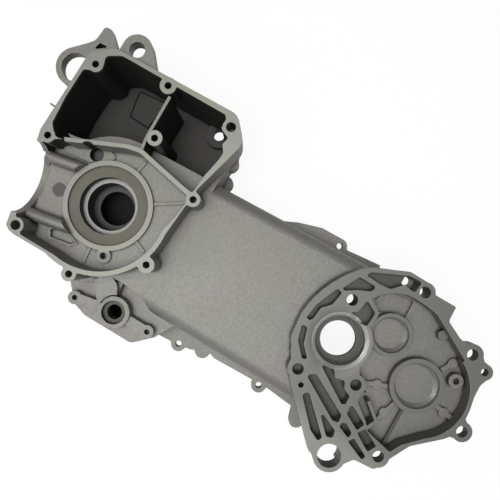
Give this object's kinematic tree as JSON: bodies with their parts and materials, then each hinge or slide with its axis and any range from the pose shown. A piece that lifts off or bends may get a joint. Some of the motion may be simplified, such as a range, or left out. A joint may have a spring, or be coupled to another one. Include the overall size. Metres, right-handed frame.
{
  "type": "engine crankcase",
  "caption": "Left crankcase half of a small scooter engine: crank chamber, wells, belt chamber arm and gear case in one aluminium casting.",
  "frame": {"origin": "on the crank axis at the shoulder of the crank bearing seat", "axes": "+X from the crank axis along the arm to the drive shaft, +Z along the crank axis out of the joint face"},
  "size_m": [0.4721, 0.248, 0.092],
  "materials": {
    "casting": "satin"
  },
  "bodies": {
    "root": {"crankcase_half": "casting"}
  },
  "joints": []
}
